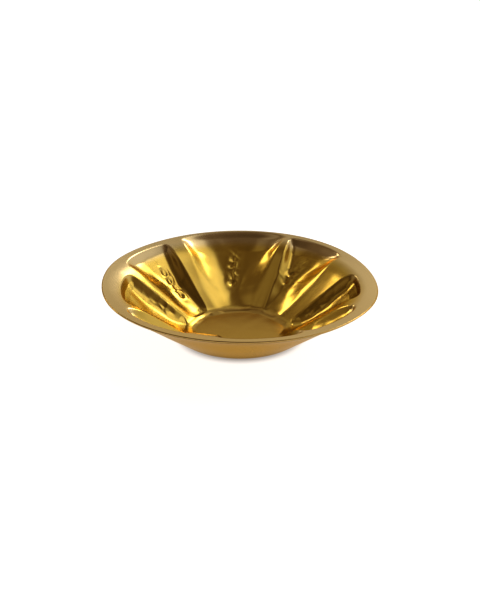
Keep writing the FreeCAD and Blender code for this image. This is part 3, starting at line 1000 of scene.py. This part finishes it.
@dataclass
class FeltFoot(Piece):
    """One felt disc with a soft lower edge and loose fibres scattered on its side by a node tree."""

    sharp: ClassVar[Optional[float]] = None

    number: int
    centre: tuple[float, float]
    radius: float
    height: float
    fibres: float = 1.6e6
    fibre_length: float = 0.0007
    fibre_radius: float = 0.000022
    soft: float = 0.0005
    flat_facing: float = 0.5
    clear_of_table: float = 1.4
    widest_lean: float = 1.4
    around: int = 56

    def disc(self) -> bpy.types.Mesh:
        """The disc itself, its lower edge rounded."""
        soft, radius, top = self.soft, self.radius, self.height
        outline = [
            (0.0, 0.0), (0.5 * radius, 0.0), (0.8 * radius, 0.0), (radius - soft, 0.0),
            (radius - 0.3 * soft, 0.3 * soft), (radius, soft), (radius, 0.5 * top),
            (radius, top), (0.5 * radius, top), (0.0, top)]
        middle = np.array([*self.centre, 0.0])
        rings = [ring + middle for ring in turned(outline, self.around)]
        return mesh_from_rings(f"felt_disc_{self.number}", rings)

    def mesh(self, finish: bpy.types.Material) -> bpy.types.Mesh:
        """The foot."""
        disc = self.disc()
        finish_mesh(disc, 40.0)
        seat = link(disc, f"felt_disc_{self.number}")
        maker = NodeMesh(f"felt_foot_{self.number}_cut")
        graph = maker.graph
        length, thick, density = maker.given({
            "Fibre length": self.fibre_length, "Fibre radius": self.fibre_radius,
            "Fibres to the square metre": self.fibres})
        body = graph.add("GeometryNodeObjectInfo", {"transform_space": "ORIGINAL"},
                         {"Object": seat}, "Geometry")
        facing = graph.split(graph.add("GeometryNodeInputNormal"))[2]
        height = graph.split(graph.add("GeometryNodeInputPosition"))[2]
        shown = 1.0 - (abs(facing) > self.flat_facing)
        shown = shown * (height > self.clear_of_table * self.fibre_length)
        spread = graph.make("GeometryNodeDistributePointsOnFaces", {"distribute_method": "RANDOM"}, {
            "Mesh": body, "Selection": shown, "Density": density, "Seed": self.number})
        fibre = graph.add("GeometryNodeMeshCone", {"fill_type": "NONE"}, {
            "Vertices": 3, "Side Segments": 2, "Radius Top": thick * 0.4, "Radius Bottom": thick,
            "Depth": length}, "Mesh")
        lean = graph.add("FunctionNodeRandomValue", {"data_type": "FLOAT_VECTOR"}, {
            0: (-self.widest_lean, -self.widest_lean, 0.0),
            1: (self.widest_lean, self.widest_lean, 6.28), "Seed": self.number + 10})
        turn = graph.add("FunctionNodeRotateRotation", {"rotation_space": "LOCAL"}, {
            "Rotation": Term(graph, spread.outputs["Rotation"]), "Rotate By": lean})
        placed = graph.add("GeometryNodeInstanceOnPoints", {}, {
            "Points": Term(graph, spread.outputs["Points"]), "Instance": fibre, "Rotation": turn})
        together = graph.make("GeometryNodeJoinGeometry")
        for part in (body, placed):
            graph.tree.links.new(part.socket, together.inputs[0])
        mesh = maker.apply(Term(graph, together.outputs[0]), finish)
        bpy.data.objects.remove(seat)
        return mesh


# ---- the studio ----

@dataclass(frozen=True)
class SoftBox:
    """One soft box, far off: where it stands, how wide it looks and how bright it is."""

    towards: tuple[float, float, float]
    core: float
    edge: float
    strength: float


@dataclass
class Studio:
    """A pale lit floor in a room that is pale low down and dim overhead, with four soft boxes."""

    low: float = 0.72
    middle: float = 0.44
    middle_band: tuple[float, float] = (0.42, 0.78)
    top: float = 0.20
    top_band: tuple[float, float] = (0.78, 0.95)
    camera_share: float = 0.40
    camera_band: tuple[float, float] = (-0.55, 0.05)
    tilt: float = 0.18
    tilt_band: tuple[float, float] = (-0.2, 0.3)
    left_dim: float = 0.45
    left_band: tuple[float, float] = (0.25, 0.50)
    boxes: tuple[SoftBox, ...] = (
        SoftBox((0.47, 0.26, 0.84), 11.0, 19.0, 0.80),
        SoftBox((0.41, 0.68, 0.60), 1.0, 13.0, 6.0),
        SoftBox((-0.36, 0.02, 0.93), 4.0, 15.0, 0.25),
        SoftBox((-0.53, 0.69, 0.50), 1.0, 8.0, 5.0))
    dim: tuple[float, float, float] = (1.0, 0.70, 0.40)
    warm: tuple[float, float, float] = (1.0, 0.93, 0.80)
    clear: tuple[float, float, float] = (1.0, 0.985, 0.96)
    warm_band: tuple[float, float] = (-0.12, 0.12)
    dim_band: tuple[float, float] = (0.10, 0.50)
    floor_size: float = 12.0
    floor_tone: float = 0.55
    floor_glow: float = 0.90
    # painted shadow: between these radii round the base the floor's glow goes from the shaded colour
    # to the lit one
    contact: tuple[float, float] = (0.080, 0.101)
    shaded: tuple[float, float, float] = (0.34, 0.34, 0.36)
    lit: tuple[float, float, float] = (0.96, 0.97, 1.0)

    def build(self) -> None:
        """Makes the floor and the room."""
        self.floor()
        self.world()

    def floor(self) -> None:
        """A large plain floor, lit from below, its glow darkened to a painted shadow where the bowl
        stands.
        """
        half = self.floor_size
        corners = [(-half, -half, 0.0), (half, -half, 0.0), (half, half, 0.0), (-half, half, 0.0)]
        mesh = bpy.data.meshes.new("studio_floor")
        mesh.from_pydata(corners, [], [(0, 1, 2, 3)])
        material, graph, shader, where = new_material("pale_floor")
        reach = graph.add("ShaderNodeVectorMath", {"operation": "LENGTH"}, {0: where}, "Value")
        # painted shadow: the floor's glow is darker close round the base
        glow = graph.blend(reach.smooth(*self.contact), rgba(*self.shaded), rgba(*self.lit))
        grey = rgba(self.floor_tone, self.floor_tone, self.floor_tone)
        graph.feed(shader, {"Base Color": grey, "Roughness": 0.9, "Specular IOR Level": 0.0,
                            "Emission Color": glow, "Emission Strength": self.floor_glow})
        mesh.materials.append(material)
        link(mesh, "studio_floor")

    def world(self) -> None:
        """The room's light by direction: pale low down, dim higher up, with the soft boxes in it."""
        world = bpy.data.worlds.new("studio_room")
        world.use_nodes = True
        world.node_tree.nodes.clear()
        graph = Graph(world.node_tree)
        where = graph.add("ShaderNodeTexCoord", {}, {}, "Generated")
        right, back, up = graph.split(where)
        level = self.low + up.smooth(*self.middle_band) * (self.middle - self.low)
        level = level + up.smooth(*self.top_band) * (self.top - self.middle)
        behind = back.smooth(*self.camera_band)
        level = level * (self.camera_share + behind * (1.0 - self.camera_share))
        level = level * (1.0 - self.tilt + 2.0 * self.tilt * right.smooth(*self.tilt_band))
        level = level * (1.0 - self.left_dim * (-right).smooth(*self.left_band))
        for box in self.boxes:
            towards = Vector(box.towards).normalized()
            facing = right * towards.x + back * towards.y + up * towards.z
            share = facing.smooth(math.cos(math.radians(box.edge)), math.cos(math.radians(box.core)))
            level = level + share * box.strength
        clear = graph.blend(right.smooth(*self.warm_band), rgba(*self.warm), rgba(*self.clear))
        shade = graph.blend(level.smooth(*self.dim_band), rgba(*self.dim), clear)
        light = graph.add("ShaderNodeBackground", {}, {"Color": shade, "Strength": level})
        graph.make("ShaderNodeOutputWorld", {}, {"Surface": light})
        bpy.context.scene.world = world


@dataclass
class Camera:
    """The view from the front, from a little above the rim."""

    elevation: float = 24.37
    distance: float = 2.2
    lens: float = 90.6
    aim: tuple[float, float, float] = (0.0, 0.0, 0.0553)

    def build(self) -> None:
        """Makes the camera the scene's own."""
        data = bpy.data.cameras.new("front_view")
        data.lens = self.lens
        data.sensor_width = 36.0
        camera = bpy.data.objects.new("front_view", data)
        tilt = math.radians(self.elevation)
        back = Vector((0.0, -math.cos(tilt), math.sin(tilt)))
        camera.location = Vector(self.aim) + back * self.distance
        camera.rotation_mode = "QUATERNION"
        camera.rotation_quaternion = (-back).to_track_quat("-Z", "Y")
        bpy.context.scene.collection.objects.link(camera)
        bpy.context.scene.camera = camera


# ---- the bowl ----

class Slot(Enum):
    """The record's material slots."""

    LINER = "liner_brass"
    OUTER = "outer_brass"
    BEAD = "bead_brass"
    PLUG = "plug_rubber"
    FELT = "foot_felt"


@dataclass
class Bowl:
    """All the pieces, each riding on the one body and standing for its own node."""

    form: Form
    pieces: dict[str, bpy.types.Object] = field(default_factory=dict)

    def seat(self, piece: bpy.types.Object, node: str, slot: Slot) -> None:
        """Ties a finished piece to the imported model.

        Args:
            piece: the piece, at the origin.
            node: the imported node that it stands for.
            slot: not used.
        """
        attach(piece, BODY)
        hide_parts(node)
        self.pieces[piece.name] = piece
        LOG.info("%s: %d faces", piece.name, len(piece.data.polygons))

    def build(self) -> None:
        """Makes every piece in order, from the wall inwards."""
        brass = SatinBrass("liner_brass").build()
        wall = SatinBrass.even("wall_brass", 0.26).build()
        bead = SatinBrass.even("bead_brass", 0.22).build()
        self.seat(ConicalWall(self.form).build(wall), "outer_skin", Slot.OUTER)
        self.seat(Liner(self.form).build(brass), "inner_skin", Slot.LINER)
        self.seat(RimBead(self.form).build(bead), "rim_bead", Slot.BEAD)
        low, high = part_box("vent_plug")
        base_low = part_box("outer_skin")[0].z
        plug = VentPlug(low.z, high.z, base_low, self.form.sheet)
        self.seat(plug.build(PlugRubber().build()), "vent_plug", Slot.PLUG)
        felt = BrownFelt().build()
        feet = sorted(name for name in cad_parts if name.startswith("felt_foot"))
        for number, node in enumerate(feet, 1):
            low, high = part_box(node)
            centre = ((low.x + high.x) / 2.0, (low.y + high.y) / 2.0)
            foot = FeltFoot(number, centre, (high.x - low.x) / 2.0, high.z)
            self.seat(foot.build(felt), node, Slot.FELT)


def main() -> None:
    """Builds the studio and the bowl."""
    logging.basicConfig(level=logging.INFO, format="%(name)s: %(message)s")
    low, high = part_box("rim_bead")
    form = Form(rim_radius=(high.x - low.x) / 2.0, base_height=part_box("outer_skin")[0].z)
    Studio().build()
    Camera().build()
    Bowl(form).build()
    scene = bpy.context.scene
    scene.view_settings.view_transform = "Standard"
    scene.view_settings.gamma = 0.8


if __name__ == "__main__":
    main()
